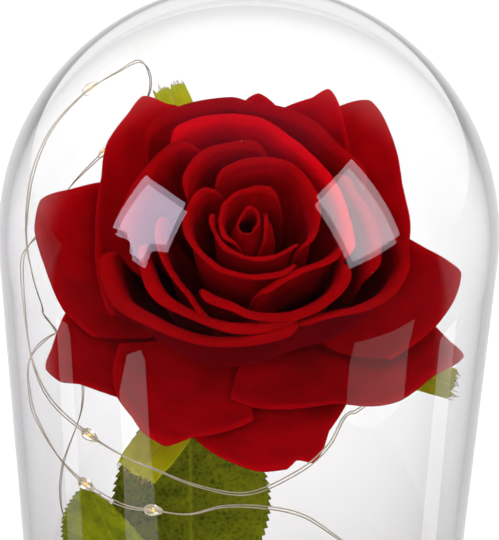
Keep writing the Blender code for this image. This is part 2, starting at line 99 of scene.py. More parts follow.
CROWN_PETALS = {
    "petal_heart": ((41, 9.5), (61, 8.3), (82, 7.5), (112, 6.8), (153, 6.2), (197, 6.2), (255, 7.0)),
    "petal_collar": ((163, 8.3), (188, 8.0), (221, 8.2), (252, 8.9), (277, 9.6), (318, 11.2), (338, 12.4)),
    "petal_cowl": ((-32, 12.9), (-20, 13.9), (0, 14.8), (28, 15.0), (60, 17.0), (84, 15.7), (128, 12.9)),
    "petal_crescent": ((130, 9.9), (151, 12.6), (182, 13.4), (235, 13.0), (265, 13.6), (318, 14.8)),
    "petal_hood": ((78, 19.8), (97, 20.3), (116, 20.3), (129, 19.2), (139, 18.0), (155, 15.8)),
    "petal_chin": (
        (276, 17.9), (287, 16.6), (298, 15.8), (309, 15.9), (319, 16.8), (331, 18.8), (348, 21.0),
    ),
    "petal_cheek": (
        (237, 19.4), (260, 20.2), (271, 21.5), (284, 22.6), (297, 23.5), (320, 24.0), (339, 22.6),
    ),
    "petal_lip": (
        (172, 19.4), (185, 19.7), (209, 20.3), (233, 21.2), (243, 22.6), (252, 24.1), (260, 24.8),
    ),
    "petal_crest": (
        (-20, 22.6), (-8, 21.5), (10, 20.4), (39, 20.9), (67, 22.8), (90, 28.2), (112, 30.2), (130, 28.6),
    ),
    "petal_brow": ((118, 23.0), (131, 26.0), (150, 25.6), (172, 26.2), (186, 26.8)),
    "petal_jaw": (
        (190, 24.2), (207, 24.6), (226, 25.2), (246, 25.0), (260, 24.9), (277, 24.6), (300, 24.3),
    ),
    "petal_right": ((-24, 27.9), (0, 26.3), (10, 25.2), (22, 24.2), (38, 24.2)),
    "petal_back": (
        (26, 29.4), (47, 28.3), (67, 30.8), (80, 32.4), (90, 33.2), (97, 36.0), (113, 37.3), (135, 35.6),
    ),
    "petal_front_left": (
        (188, 32.6), (202, 32.6), (212, 32.8), (229, 31.0), (254, 29.2), (273, 27.6), (297, 26.2),
    ),
    "petal_front_right": (
        (292, 26.0), (303, 26.6), (312, 28.0), (324, 31.0), (340, 34.2), (349, 35.2), (362, 33.8),
    ),
}
OUTER_PETALS = {
    "outer_petal_1": (
        ((98, 42.8), (147, 42.0), (170, 40.0), (198, 38.5)),
        (
            (98, 42.0), (110, 43.5), (116, 45.5), (121.5, 49.3), (128, 46.8),
            (138, 44.2), (147, 40.3), (167, 34.8), (198, 31),
        ),
    ),
    "outer_petal_2": (
        ((134, 45.0), (202, 44.0)),
        (
            (134, 36), (145, 41.7), (155, 45.6), (163, 50.2),
            (171, 48.8), (180, 45.1), (194, 40.9), (202, 36),
        ),
    ),
    "outer_petal_3": (
        ((178, 47.6), (234, 47.2)),
        (
            (178, 36), (192, 41.0), (205, 45.8), (211, 49.3),
            (216, 47.8), (218, 44.1), (223, 40.5), (234, 34),
        ),
    ),
    "outer_petal_4": (
        ((205, 43.4), (273, 43.4)),
        (
            (205, 31), (218, 36.2), (227, 39.7), (236, 42.1),
            (243, 45.1), (250, 46.4), (254, 40.5), (273, 30),
        ),
    ),
    "outer_petal_5": (
        ((246, 49.0), (316, 49.0)),
        (
            (246, 33), (253, 36.5), (264, 41.8), (275, 46.1), (281, 45.9),
            (284.5, 43.5), (288, 45.5), (298, 37.8), (316, 32),
        ),
    ),
    "outer_petal_6": (
        ((262, 41.0), (300, 41.5), (312, 43.5), (325, 46.5), (339, 51.0), (358, 50.0)),
        (
            (262, 24), (284, 28.6), (294, 31.4), (302, 34.5), (307, 39.5), (316, 44.5),
            (329, 46.5), (338, 51.0), (342, 46.5), (358, 36),
        ),
    ),
    "outer_petal_7": (
        ((-30, 43.5), (0, 44.2), (30, 45.6)),
        ((-30, 36), (-17, 42.9), (-10, 45.3), (-2, 46.9), (2, 45.1), (11, 41.1), (21, 37.7), (30, 34)),
    ),
    "outer_petal_8": (
        ((2, 41.2), (18, 42.2), (34, 43.4), (72, 43.8)),
        ((2, 34), (18, 38.3), (34, 42.3), (47, 48.0), (57, 52.6), (64, 47.4), (72, 40)),
    ),
    "outer_petal_9": (
        ((46, 40.1), (90, 40.1)),
        ((46, 34), (56, 38.5), (66, 44.2), (70, 41), (82, 37), (90, 34)),
    ),
    "outer_petal_10": (
        ((66, 46.0), (112, 45.6)),
        ((66, 38), (74, 43.5), (81, 44.8), (88, 47.8), (94, 44.8), (112, 37)),
    ),
}

# Where a petal is widest, how wide its foot is, and how far the ends of its rim dip
SPREAD_END = 0.55
FOOT_WIDTH = 0.3
OUTER_FOOT_WIDTH = 0.65
RIM_DIP = 0.62

# The curl of the rims: where it starts, its turn and swing in degrees, an outer rim's arc in mm, and each
# lip's radius and the body's inset, as shares of the usual radius
CURL_START = 0.96
CROWN_CURL, OUTER_CURL, CURL_SWING = 92, 30, 22
OUTER_ARC = 1.9
LIP_SHARE = {
    "petal_lip": 0.5, "petal_cheek": 1.2, "petal_jaw": 1.15,
    "petal_front_left": 1.25, "petal_front_right": 0.9,
}
LIP_INSET = {"petal_jaw": 0.7, "petal_front_left": 1.0, "petal_front_right": 0.9}
USUAL_INSET = 0.4

# Degrees between a petal's columns of points
CROWN_COLUMN, OUTER_COLUMN = 1.6, 0.7

# Shares of a petal's length: where the painted light and shade of a curled rim starts and how soon it is
# full, and the same, counted down toward the foot, for the painted shade deep among the petals
PAINTED_CURL_START, PAINTED_CURL_RISE = 0.93, 0.03
FRONT_LIPS = ("petal_jaw", "petal_front_left", "petal_front_right")
PAINTED_SHADE_SPANS = {"outer": (0.4, 0.4), "crown": (0.65, 0.4), "front": (0.95, 0.06)}

# Each sepal: its angle, its lane, half its width in degrees, and its reach
SEPALS = (
    (241.0, 60.0, 11.0, 48.6),
    (337.0, 60.0, 8.5, 51.3),
    (41.0, 54.0, 10.0, 44.0),
    (112.0, 48.5, 8.5, 54.0),
    (173.0, 57.0, 10.0, 42.0),
)

# The stem, the leaves and the light string, as in the source
STEM_RADIUS = 2.2
STEM_PATH = (
    (0, 6, 13.4), (0, 6.5, 34), (-0.5, 12, 60), (0, 19, 87), (0, 23.4, 108),
    (0, 22.3, 118.6), (0, 16.96, 127.9),
)
LEAVES = (
    {"foot": (-12, -13, 70), "tip": (-13.5, 0, 125), "face": (0.1, -1, -0.2), "half": 19.0, "stalk": 54.0},
    {
        "foot": (-27, -20, 64), "tip": (-34, -26, 114.5), "face": (-0.5, -1, 0.1),
        "half": 14.0, "stalk": 46.0,
    },
)
TOOTH_SPACING, TOOTH_DEPTH = 1.9, 0.95
VEIN_SPACING = 5.2
STALK_RADIUS = 0.9
WIRE_RADIUS = 0.14
DROP_RADIUS, DROP_REACH = 1.12, 2.1
STRING_ROUTE = (
    (-24, 22, 13.2), (-24, 22, 26), (-33, 29, 38.4), (-42, 22, 55.6), (-47.5, 10, 75.1), (-48, 12, 90),
    (-43, 20, 104), (-42, 14, 122), (-44.5, 2, 138), (-44, -10, 149), (-43.5, -18, 156),
    (-42, -25, 162), (-43, -26, 169), (-44.5, -22, 176), (-45.4, -12.6, 181), (-45.6, -5, 183.5),
    (-44.4, 0, 187), (-42.4, 3, 190.3), (-39, 6, 193.8), (-34.8, 9, 197), (-29.6, 14, 199), (-26, 25, 198),
    (-24.5, 34, 192), (-25, 38.5, 185), (-29, 39, 177), (-36, 34, 171), (-43, 26, 166), (-46, 18, 163),
    (-48, 7, 162.5), (-48.6, -3, 164.5), (-48.7, -10, 164.6), (-48.5, -13, 159.6), (-47.5, -17, 153),
    (-45, -23, 146), (-40, -31, 142), (-31.5, -39.5, 140), (-24, -44, 138), (-18, -46.5, 137),
    (-9, -49.3, 135), (1, -50, 134), (11, -48.8, 139), (16.5, -47, 144), (19.5, -41, 146),
    (22, -30, 140), (25, -19, 133), (33, -4, 129), (41, 10, 128), (42, 24, 127), (30, 38, 123),
    (8, 47.5, 120), (-16, 45.5, 120), (-36, 33, 124), (-47, 12, 132), (-49, -10, 139),
    (-47.5, -18, 133.5), (-44, -25, 131), (-39, -32, 128), (-33, -38, 126), (-25, -44, 125.5),
    (-18, -46.8, 126.5), (-11, -49, 127.5), (-4, -50, 130.5), (4, -50, 130.5), (12, -48.8, 127.5),
    (20, -46, 119), (30, -40.5, 106), (40, -30, 90), (45, -18, 70.2), (45, -9, 48.2), (40, -2, 33.6),
    (32, 2, 27), (22, 2, 26.5),
)
LIGHTS = (
    (-34.8, 9, 197), (-31.5, -39.5, 140), (-33, -38, 126), (-18, -46.8, 126.5), (-36, 34, 171),
    (41, 10, 128), (-16, 45.5, 120), (-47.5, 10, 75.1), (40, -30, 90), (22, 2, 26.5),
)


# Curves and shapes
def smooth(points, x):
    """A curve through the points, with no overshoot, read at x."""
    xs, ys = np.array(points, float).T
    steps = np.diff(xs)
    slopes = np.diff(ys) / steps
    product = slopes[:-1] * slopes[1:]
    total = np.where(product > 0, slopes[:-1] + slopes[1:], 1.0)
    inner = np.where(product > 0, 2 * product / total, 0.0)
    tangents = np.concatenate([slopes[:1], inner, slopes[-1:]])
    x = np.clip(x, xs[0], xs[-1])
    i = np.clip(np.searchsorted(xs, x, side="right") - 1, 0, len(steps) - 1)
    t = (x - xs[i]) / steps[i]
    start = ys[i] * (1 + 2 * t) * (1 - t) ** 2 + steps[i] * tangents[i] * t * (1 - t) ** 2
    end = ys[i + 1] * t * t * (3 - 2 * t) + steps[i] * tangents[i + 1] * t * t * (t - 1)
    return start + end


def meridian(lane, s):
    """Distance from the rose's axis and height over its ring, in mm, at share s along a lane's curve."""
    lane, s = np.broadcast_arrays(np.asarray(lane, float), np.asarray(s, float))
    r = 1 - s
    weights = (r**3, 3 * r * r * s, 3 * r * s * s, s**3)
    found = [0.0, 0.0]
    for column, weight in enumerate(weights, start=1):
        for k in range(2):
            found[k] = found[k] + weight * smooth([(row[0], row[column][k]) for row in LANES], lane)
    roll = np.minimum(ROLL, ROLL_SHARE * lane)
    lip = np.maximum(0.0, (s - LIP_START) / (1 - LIP_START)) ** 2
    body = np.minimum(1.0, s / LIP_START)
    return found[0] - roll * body + roll * lip, found[1] - 0.4 * roll * lip


def share_at(lane, reach):
    """The share along a lane's curve at which it is reach mm from the axis."""
    shares = np.linspace(0.3, 1.15, 60)
    distances = np.maximum.accumulate(meridian(lane, shares)[0])
    return float(np.interp(reach, distances, shares))


def from_axis(angle, distance, height):
    """Points in the rose's polar frame, in mm, as points of the whole object in metres."""
    turn = np.radians(angle)
    x, y, z = distance * np.cos(turn), distance * np.sin(turn), height + 0.0 * turn
    c, s = math.cos(ROSE_BOW), math.sin(ROSE_BOW)
    return (np.stack([x, c * y - s * z, s * y + c * z], axis=-1) + ROSE_CENTRE) * MM


def waves(u, v, seed, count=5, most=3.0):
    """A soft uneven surface from -1 to 1 over u and v."""
    rng = np.random.default_rng(seed)
    total = 0.0
    for _ in range(count):
        fu, fv = rng.uniform(0.4, most), rng.uniform(0.2, most * 0.6)
        total = total + np.sin(math.tau * (fu * u + fv * v + rng.uniform()))
    return total / count


def linked(name, data):
    """A new object in the scene, for a mesh, a lamp or a camera."""
    made = bpy.data.objects.new(name, data)
    bpy.context.scene.collection.objects.link(made)
    return made


def mesh_piece(name, verts, faces, looks, uvs=None, extras=None):
    """A smooth mesh object from arrays, with a UV map and extra values at its points."""
    mesh = bpy.data.meshes.new(name)
    mesh.from_pydata([tuple(v) for v in verts], [], [tuple(f) for f in faces])
    mesh.update()
    if uvs is not None:
        layer = mesh.uv_layers.new(name="UVMap")
        corners = np.zeros(len(mesh.loops), np.int32)
        mesh.loops.foreach_get("vertex_index", corners)
        layer.data.foreach_set("uv", np.asarray(uvs, np.float32)[corners].ravel())
    for key, values in (extras or {}).items():
        attribute = mesh.attributes.new(key, "FLOAT", "POINT")
        attribute.data.foreach_set("value", np.asarray(values, np.float32).ravel())
    made = linked(name, mesh)
    for each in looks:
        mesh.materials.append(each)
    mesh.shade_smooth()
    return made


def grid_faces(rows, columns, wrap=False):
    """Quads of a grid of points, closed round if it wraps."""
    width = columns if wrap else columns - 1
    i = np.arange(rows - 1)[:, None] * columns
    j = np.arange(width)[None, :]
    k = (j + 1) % columns
    return np.stack([i + j, i + k, i + columns + k, i + columns + j], axis=-1).reshape(-1, 4)


def grid_piece(name, points, looks, thickness=0.0, uvs=None, extras=None):
    """A sheet from a rows by columns array of points, with its thickness and a finished edge."""
    rows, columns = points.shape[:2]
    flat = None if uvs is None else uvs.reshape(-1, 2)
    made = mesh_piece(name, points.reshape(-1, 3), grid_faces(rows, columns), looks, flat, extras)
    if thickness:
        shell = made.modifiers.new("fabric", "SOLIDIFY")
        shell.thickness = thickness * MM
        shell.offset = 0.0
        if len(looks) > 1:
            shell.material_offset_rim = 1
    return made


def turned(name, profile, steps, looks, place=None):
    """A closed solid turned from (radius, height) points in mm that run top to bottom."""
    profile = np.array(profile, float)
    turn = np.linspace(0, math.tau, steps, endpoint=False)
    ring = np.stack([np.cos(turn), np.sin(turn)], axis=-1)
    verts, rows = [], []
    for radius, height in profile:
        if radius < 1e-6:
            rows.append([len(verts)] * steps)
            verts.append((0.0, 0.0, height))
        else:
            rows.append(list(range(len(verts), len(verts) + steps)))
            verts += [(radius * x, radius * y, height) for x, y in ring]
    faces = []
    for upper, lower in zip(rows, rows[1:]):
        for i in range(steps):
            j = (i + 1) % steps
            face = []
            for corner in (upper[j], upper[i], lower[i], lower[j]):
                if corner not in face:
                    face.append(corner)
            faces.append(face)
    verts = np.array(verts) * MM
    if place is not None:
        verts = place(verts)
    return mesh_piece(name, verts, faces, looks)


def through(route, count):
    """Evenly spaced points, in mm, on a smooth curve through the route's own points."""
    route = [Vector(p) for p in route]
    ends = [route[0] * 2 - route[1]] + route + [route[-1] * 2 - route[-2]]
    fine = []
    for i in range(len(route) - 1):
        a, b, c, d = ends[i : i + 4]
        for k in range(12):
            t = k / 12
            bend, twist = 2 * a - 5 * b + 4 * c - d, 3 * b - a - 3 * c + d
            fine.append(0.5 * (2 * b + (c - a) * t + bend * t * t + twist * t**3))
    fine.append(route[-1])
    along = np.concatenate([[0], np.cumsum([(q - p).length for p, q in zip(fine, fine[1:])])])
    wanted = np.linspace(0, along[-1], count)
    spots = np.array([list(p) for p in fine])
    return np.stack([np.interp(wanted, along, spots[:, k]) for k in range(3)], axis=-1)


def frames(points):
    """Tangent, side and lift of a path, carried along it without twisting."""
    tangents = np.gradient(points, axis=0)
    tangents /= np.linalg.norm(tangents, axis=1)[:, None]
    side = np.cross(tangents[0], (0.3, 0.2, 1.0))
    sides = []
    for tangent in tangents:
        side = side - tangent * side.dot(tangent)
        side /= np.linalg.norm(side)
        sides.append(side)
    sides = np.array(sides)
    return tangents, sides, np.cross(tangents, sides)


def tube_arrays(points, radii, sides=8):
    """Points and faces of a round tube with closed ends, in mm."""
    _, side, lift = frames(points)
    turn = np.linspace(0, math.tau, sides, endpoint=False)
    radii = np.broadcast_to(radii, len(points))[:, None, None]
    ring = np.cos(turn)[None, :, None] * side[:, None] + np.sin(turn)[None, :, None] * lift[:, None]
    verts = (points[:, None] + ring * radii).reshape(-1, 3)
    faces = [tuple(f) for f in grid_faces(len(points), sides, wrap=True)]
    faces.append(tuple(range(sides))[::-1])
    last = (len(points) - 1) * sides
    faces.append(tuple(range(last, last + sides)))
    return verts, faces


def joined(parts):
    """Several (points, faces) pairs as one."""
    verts, faces, start = [], [], 0
    for points, quads in parts:
        verts.append(points)
        faces += [tuple(int(i) + start for i in face) for face in quads]
        start += len(points)
    return np.concatenate(verts), faces


def settle(piece, node=None):
    """Hangs a finished piece on the frame, in place of its solid."""
    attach(piece, "root")
    if node:
        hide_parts(node)
    return piece


# Materials
def look(name, values):
    """A Principled material with plain values on its sockets."""
    made = bpy.data.materials.new(name)
    made.use_nodes = True
    shader = made.node_tree.nodes["Principled BSDF"]
    for socket, value in values.items():
        shader.inputs[socket].default_value = value
    return made, made.node_tree, shader


def node(tree, kind, inputs=None, **settings):
    """A node with its settings, and its inputs as values or links."""
    made = tree.nodes.new(kind)
    for key, value in settings.items():
        setattr(made, key, value)
    for socket, value in (inputs or {}).items():
        if isinstance(value, bpy.types.NodeSocket):
            tree.links.new(value, made.inputs[socket])
        else:
            made.inputs[socket].default_value = value
    return made


def rgb(r, g, b):
    return (r, g, b, 1.0)


def mix(tree, factor, first, second, kind="MIX"):
    """A blend of two colours."""
    return node(
        tree, "ShaderNodeMix", {0: factor, 6: first, 7: second}, data_type="RGBA", blend_type=kind
    ).outputs[2]


def maths(tree, operation, first, second=0.0, clamp=False):
    """One sum of two values."""
    return node(
        tree, "ShaderNodeMath", {0: first, 1: second}, operation=operation, use_clamp=clamp
    ).outputs[0]


def spread(tree, value, low, high, new_low=0.0, new_high=1.0):
    """A value's range moved to another, smoothly."""
    return node(
        tree, "ShaderNodeMapRange", {0: value, 1: low, 2: high, 3: new_low, 4: new_high},
        interpolation_type="SMOOTHSTEP",
    ).outputs[0]


def noise(tree, where, scale, detail=3.0, rough=0.5):
    """A noise value over the given coordinates."""
    return node(
        tree, "ShaderNodeTexNoise", {"Vector": where, "Scale": scale, "Detail": detail, "Roughness": rough}
    ).outputs["Fac"]


def place_of(tree, socket="Object"):
    return node(tree, "ShaderNodeTexCoord").outputs[socket]


def stretched(tree, where, scale):
    return node(tree, "ShaderNodeMapping", {"Vector": where, "Scale": scale}).outputs[0]


def value_of(tree, name):
    return node(tree, "ShaderNodeAttribute", attribute_name=name).outputs["Fac"]


def bump(tree, shader, height, distance, strength=1.0):
    made = node(tree, "ShaderNodeBump", {"Height": height, "Distance": distance, "Strength": strength})
    tree.links.new(made.outputs[0], shader.inputs["Normal"])


def velvet(name, deep, full, edge):
    """Dyed velvet with a short nap, uneven colour, specks of lint, painted light and shade on its curled rims
    (edge: that tone) and painted shade deep among the petals.
    """
    made, tree, shader = look(
        name,
        {
            "Specular IOR Level": 0.02, "Sheen Weight": 0.2, "Sheen Roughness": 0.4,
            "Sheen Tint": rgb(1.0, 0.004, 0.03),
        },
    )
    where = place_of(tree)
    broad = noise(tree, where, 130.0, 2.0)
    nap = noise(tree, where, 2600.0, 4.0, 0.65)
    patches = spread(tree, broad, 0.3, 0.7, 0.35, 1.0)
    tone = maths(tree, "MULTIPLY", patches, spread(tree, nap, 0.3, 0.7, 0.6, 1.0))
    colour = mix(tree, tone, deep, full)
    # Painted light and shade: a curled rim blends toward the edge tone, darker than the body on the crown
    # petals, lighter on the outer petals and the bud
    colour = mix(tree, maths(tree, "MULTIPLY", value_of(tree, "rim"), 0.6), colour, edge)
    # Painted shade: the petal darkens toward near black down toward its foot, deep among the other petals
    painted_shade_amount = maths(tree, "MULTIPLY", value_of(tree, "fold"), 0.72)
    colour = mix(tree, painted_shade_amount, colour, rgb(0.03, 0.0002, 0.001))
    cells = node(tree, "ShaderNodeTexVoronoi", {"Vector": where, "Scale": 170.0}).outputs["Distance"]
    lint = maths(tree, "LESS_THAN", cells, 0.018)
    colour = mix(tree, maths(tree, "MULTIPLY", lint, 0.6), colour, rgb(0.55, 0.38, 0.36))
    tree.links.new(colour, shader.inputs["Base Color"])
    tree.links.new(spread(tree, nap, 0.2, 0.8, 0.75, 0.95), shader.inputs["Roughness"])
    bump(tree, shader, nap, 0.00012, 0.7)
    return made


def cloth(name, dark, light, vein, weave_scale, weave_depth, net=0.0):
    """Dyed woven cloth, with its vein colour where the mesh says so. net: how strong its fine veins are."""
    made, tree, shader = look(name, {"Specular IOR Level": 0.08})
    threads = place_of(tree, "UV")
    where = place_of(tree)
    across, along = (
        node(
            tree, "ShaderNodeTexWave",
            {"Vector": threads, "Scale": weave_scale, "Distortion": 0.6, "Detail": 1.0}, bands_direction=axis,
        ).outputs["Fac"]
        for axis in "XY"
    )
    weave = maths(tree, "ADD", maths(tree, "MULTIPLY", across, 0.5), maths(tree, "MULTIPLY", along, 0.5))
    broad = spread(tree, noise(tree, where, 160.0, 3.0), 0.3, 0.7, 0.0, 0.55)
    tone = maths(tree, "ADD", maths(tree, "MULTIPLY", weave, 0.45), broad)
    colour = mix(tree, tone, dark, light)
    height = weave
    if net:
        cells = node(
            tree, "ShaderNodeTexVoronoi", {"Vector": where, "Scale": 700.0}, feature="DISTANCE_TO_EDGE"
        ).outputs["Distance"]
        colour = mix(tree, spread(tree, cells, 0.0, 0.4, net, 0.0), colour, vein)
        quilt = maths(tree, "MULTIPLY", spread(tree, cells, 0.0, 0.35), 2.5)
        height = maths(tree, "ADD", weave, quilt)
    colour = mix(tree, value_of(tree, "vein"), colour, vein)
    tree.links.new(colour, shader.inputs["Base Color"])
    tree.links.new(spread(tree, weave, 0.0, 1.0, 0.65, 0.9), shader.inputs["Roughness"])
    bump(tree, shader, height, weave_depth)
    return made


def wood(name):
    """Turned brown wood with a satin varnish, its rings cut by the board's faces."""
    made, tree, shader = look(
        name, {"Coat Weight": 0.25, "Coat Roughness": 0.25, "Specular IOR Level": 0.4}
    )
    where = stretched(tree, place_of(tree), (4.0, 40.0, 55.0))
    bent = noise(tree, stretched(tree, place_of(tree), (6.0, 25.0, 25.0)), 1.0, 2.0)
    rings = node(
        tree, "ShaderNodeTexWave", {"Vector": where, "Scale": 2.2, "Distortion": 5.0, "Detail": 3.0},
        bands_direction="Y", wave_profile="SAW",
    ).outputs["Fac"]
    pores = noise(tree, stretched(tree, place_of(tree), (120.0, 2400.0, 2400.0)), 1.0, 3.0, 0.6)
    colour = mix(tree, rings, rgb(0.20, 0.095, 0.04), rgb(0.38, 0.20, 0.09))
    colour = mix(tree, spread(tree, bent, 0.3, 0.7, 0.0, 0.4), colour, rgb(0.28, 0.12, 0.05))
    colour = mix(tree, spread(tree, pores, 0.52, 0.75, 0.0, 0.75), colour, rgb(0.09, 0.04, 0.018))
    tree.links.new(colour, shader.inputs["Base Color"])
    tree.links.new(spread(tree, pores, 0.3, 0.7, 0.32, 0.5), shader.inputs["Roughness"])
    bump(tree, shader, pores, 0.00004, 0.6)
    return made


def plastic(name, colour, roughness):
    """Moulded plastic with a fine spark texture."""
    made, tree, shader = look(name, {"Specular IOR Level": 0.45})
    grain = noise(tree, place_of(tree), 1800.0, 3.0)
    lighter = rgb(*[c * 1.6 for c in colour[:3]])
    tree.links.new(mix(tree, grain, colour, lighter), shader.inputs["Base Color"])
    tree.links.new(spread(tree, grain, 0.3, 0.7, roughness, roughness + 0.15), shader.inputs["Roughness"])
    bump(tree, shader, grain, 0.00005, 0.6)
    return made


def taped(name, dark, light):
    """A wire stem wrapped in waxed paper tape."""
    made, tree, shader = look(name, {"Specular IOR Level": 0.3})
    where = place_of(tree)
    long_way = stretched(tree, where, (30.0, 30.0, 60.0))
    wraps = node(
        tree, "ShaderNodeTexWave", {"Vector": long_way, "Scale": 1.0, "Distortion": 1.5, "Detail": 2.0},
        bands_direction="Z", wave_profile="SAW",
    ).outputs["Fac"]
    fibre = noise(tree, stretched(tree, where, (1500.0, 1500.0, 300.0)), 1.0, 3.0)
    tone = maths(tree, "MULTIPLY", wraps, fibre)
    tree.links.new(mix(tree, tone, dark, light), shader.inputs["Base Color"])
    tree.links.new(spread(tree, fibre, 0.2, 0.8, 0.5, 0.75), shader.inputs["Roughness"])
    bump(tree, shader, maths(tree, "ADD", wraps, maths(tree, "MULTIPLY", fibre, 0.4)), 0.0002, 0.7)
    return made


def mottled(name, values, scale, dark, light):
    """A plain look whose colour drifts between two tones."""
    made, tree, shader = look(name, values)
    tone = noise(tree, place_of(tree), scale, 2.0)
    tree.links.new(mix(tree, tone, dark, light), shader.inputs["Base Color"])
    return made


GLASS, _, _ = look(
    "dome_glass",
    {"Base Color": rgb(0.94, 0.942, 0.942), "Roughness": 0.0, "IOR": 1.46, "Transmission Weight": 1.0},
)
# Painted light: the resin drops glow faintly of themselves, though the resin is no lamp
RESIN, _, _ = look(
    "light_resin",
    {
        "Base Color": rgb(0.99, 0.97, 0.92), "Roughness": 0.04, "IOR": 1.38, "Transmission Weight": 1.0,
        "Emission Color": rgb(1.0, 0.88, 0.68), "Emission Strength": 0.12,
    },
)
WIRE = mottled(
    "string_wire", {"Metallic": 0.35, "Roughness": 0.42}, 400.0, rgb(0.50, 0.42, 0.29), rgb(0.82, 0.72, 0.52)
)
CHIP = mottled(
    "light_chip", {"Roughness": 0.5, "Emission Strength": 0.6, "Emission Color": rgb(1.0, 0.62, 0.1)},
    3000.0, rgb(0.9, 0.5, 0.05), rgb(1.0, 0.75, 0.2),
)
# The outer velvet is a painted lit copy of the petal velvet: brighter, for the outer petals and the crest
# that sit in more light
VELVET, PAINTED_LIT_VELVET, BUD_VELVET, EDGE = (
    velvet(name, *[rgb(*colour) for colour in colours])
    for name, *colours in (
        ("petal_velvet", (0.20, 0.0002, 0.001), (0.39, 0.0004, 0.002), (0.23, 0.0003, 0.001)),
        ("outer_velvet", (0.32, 0.0002, 0.002), (0.57, 0.0004, 0.004), (0.50, 0.0006, 0.004)),
        ("bud_velvet", (0.18, 0.0002, 0.001), (0.36, 0.0004, 0.002), (0.30, 0.0006, 0.002)),
        ("petal_edge", (0.25, 0.0005, 0.002), (0.38, 0.001, 0.004), (0.38, 0.001, 0.004)),
    )
)
WOOD = wood("foot_wood")
BLACK = plastic("box_plastic", rgb(0.018, 0.018, 0.019), 0.35)
STEM = taped("stem_green", rgb(0.035, 0.09, 0.02), rgb(0.12, 0.22, 0.06))
STALK = taped("stalk_green", rgb(0.05, 0.11, 0.02), rgb(0.16, 0.26, 0.07))
# The two leaf cloths are painted shaded and lit copies of one cloth: darker for leaf 1 in the rose's shade,
# brighter for leaf 2
CALYX, SEPAL, FRAY, PAINTED_SHADED_LEAF, PAINTED_LIT_LEAF = (
    cloth(name, *[rgb(*colour) for colour in colours], *weave)
    for name, colours, weave in (
        ("calyx_green", ((0.10, 0.15, 0.03), (0.20, 0.27, 0.06), (0.2, 0.27, 0.06)), (1.2, 0.0001)),
        ("sepal_cloth", ((0.58, 0.64, 0.002), (0.92, 0.94, 0.01), (0.90, 0.90, 0.08)), (0.75, 0.0002)),
        ("fray_thread", ((0.42, 0.24, 0.04), (0.72, 0.40, 0.10), (0.6, 0.5, 0.2)), (2.0, 0.00002)),
        ("leaf_cloth", ((0.035, 0.055, 0.0004), (0.16, 0.19, 0.001), (0.32, 0.34, 0.01)), (1.4, 0.0001, 0.3)),
        ("leaf_cloth_painted_light", ((0.08, 0.12, 0.0004), (0.38, 0.42, 0.001), (0.46, 0.50, 0.01)), (1.4, 0.0001, 0.2)),
    )
)


# The foot and what stands in it
def make_foot():
    """The turned foot with its bores and pocket."""
    def corner(centre, radius, start, end, steps=6):
        turn = np.radians(np.linspace(start, end, steps))
        return [(centre[0] + radius * math.cos(a), centre[1] + radius * math.sin(a)) for a in turn]

    outline = [(0, FOOT_HEIGHT)]
    outline += corner((STEP_RADIUS - 0.6, FOOT_HEIGHT - 0.6), 0.6, 90, 0)
    outline += [(STEP_RADIUS, STEP_HEIGHT)]
    outline += corner((FOOT_RADIUS - 2.0, STEP_HEIGHT - 2.0), 2.0, 90, 0, 9)
    outline += corner((FOOT_RADIUS - 1.5, 1.5), 1.5, 0, -90)
    outline += [(0, 0)]
    foot = turned("foot", outline, 160, [WOOD])
    helpers = []

    def take(mesh_maker, spot):
        bm = bmesh.new()
        mesh_maker(bm)
        mesh = bpy.data.meshes.new("helper")
        bm.to_mesh(mesh)
        bm.free()
        helper = linked("helper", mesh)
        helper.location = Vector(spot) * MM
        made = foot.modifiers.new("bore", "BOOLEAN")
        made.operation, made.solver, made.object = "DIFFERENCE", "EXACT", helper
        helpers.append(helper)

    def rod(radius, length):
        return lambda bm: bmesh.ops.create_cone(
            bm, cap_ends=True, segments=48, radius1=radius * MM, radius2=radius * MM, depth=length * MM
        )

    take(rod(SOCKET[2], SOCKET[3] * 2), (SOCKET[0], SOCKET[1], FOOT_HEIGHT))
    take(rod(STRING_HOLE[2], FOOT_HEIGHT), (STRING_HOLE[0], STRING_HOLE[1], FOOT_HEIGHT))
    pocket = Vector((BOX_SIZE.x + 0.6, BOX_SIZE.y + 0.6, 2 * BOX_SIZE.z + 0.6)) * MM

    def box(bm):
        bmesh.ops.create_cube(bm, size=1.0)
        bmesh.ops.scale(bm, vec=pocket, verts=bm.verts)

    take(box, (0, 0, BOX_FLOOR))
    bpy.context.view_layer.update()
    cut = bpy.data.meshes.new_from_object(foot.evaluated_get(bpy.context.evaluated_depsgraph_get()))
    foot.modifiers.clear()
    foot.data = cut
    for helper in helpers:
        bpy.data.objects.remove(helper, do_unlink=True)
    cut.set_sharp_from_angle(angle=math.radians(32))
    settle(foot, "base")


def make_box():
    """The light string's box, with the groove round its lid."""
    bm = bmesh.new()
    bmesh.ops.create_cube(bm, size=1.0)
    bmesh.ops.scale(bm, vec=BOX_SIZE * MM, verts=bm.verts)
    bmesh.ops.translate(bm, vec=Vector((0, 0, BOX_FLOOR + BOX_SIZE.z / 2)) * MM, verts=bm.verts)
    bm.faces.ensure_lookup_table()
    under = min(bm.faces, key=lambda f: f.calc_center_median().z)
    for thickness, depth in ((3.0, 0.0), (0.4, -0.5), (0.4, 0.5)):
        bmesh.ops.inset_region(bm, faces=[under], thickness=thickness * MM, depth=depth * MM)
    mesh = bpy.data.meshes.new("box")
    bm.to_mesh(mesh)
    bm.free()
    made = linked("box", mesh)
    mesh.materials.append(BLACK)
    edges = made.modifiers.new("edges", "BEVEL")
    edges.width, edges.segments, edges.limit_method = 0.15 * MM, 2, "ANGLE"
    settle(made, "battery_box")


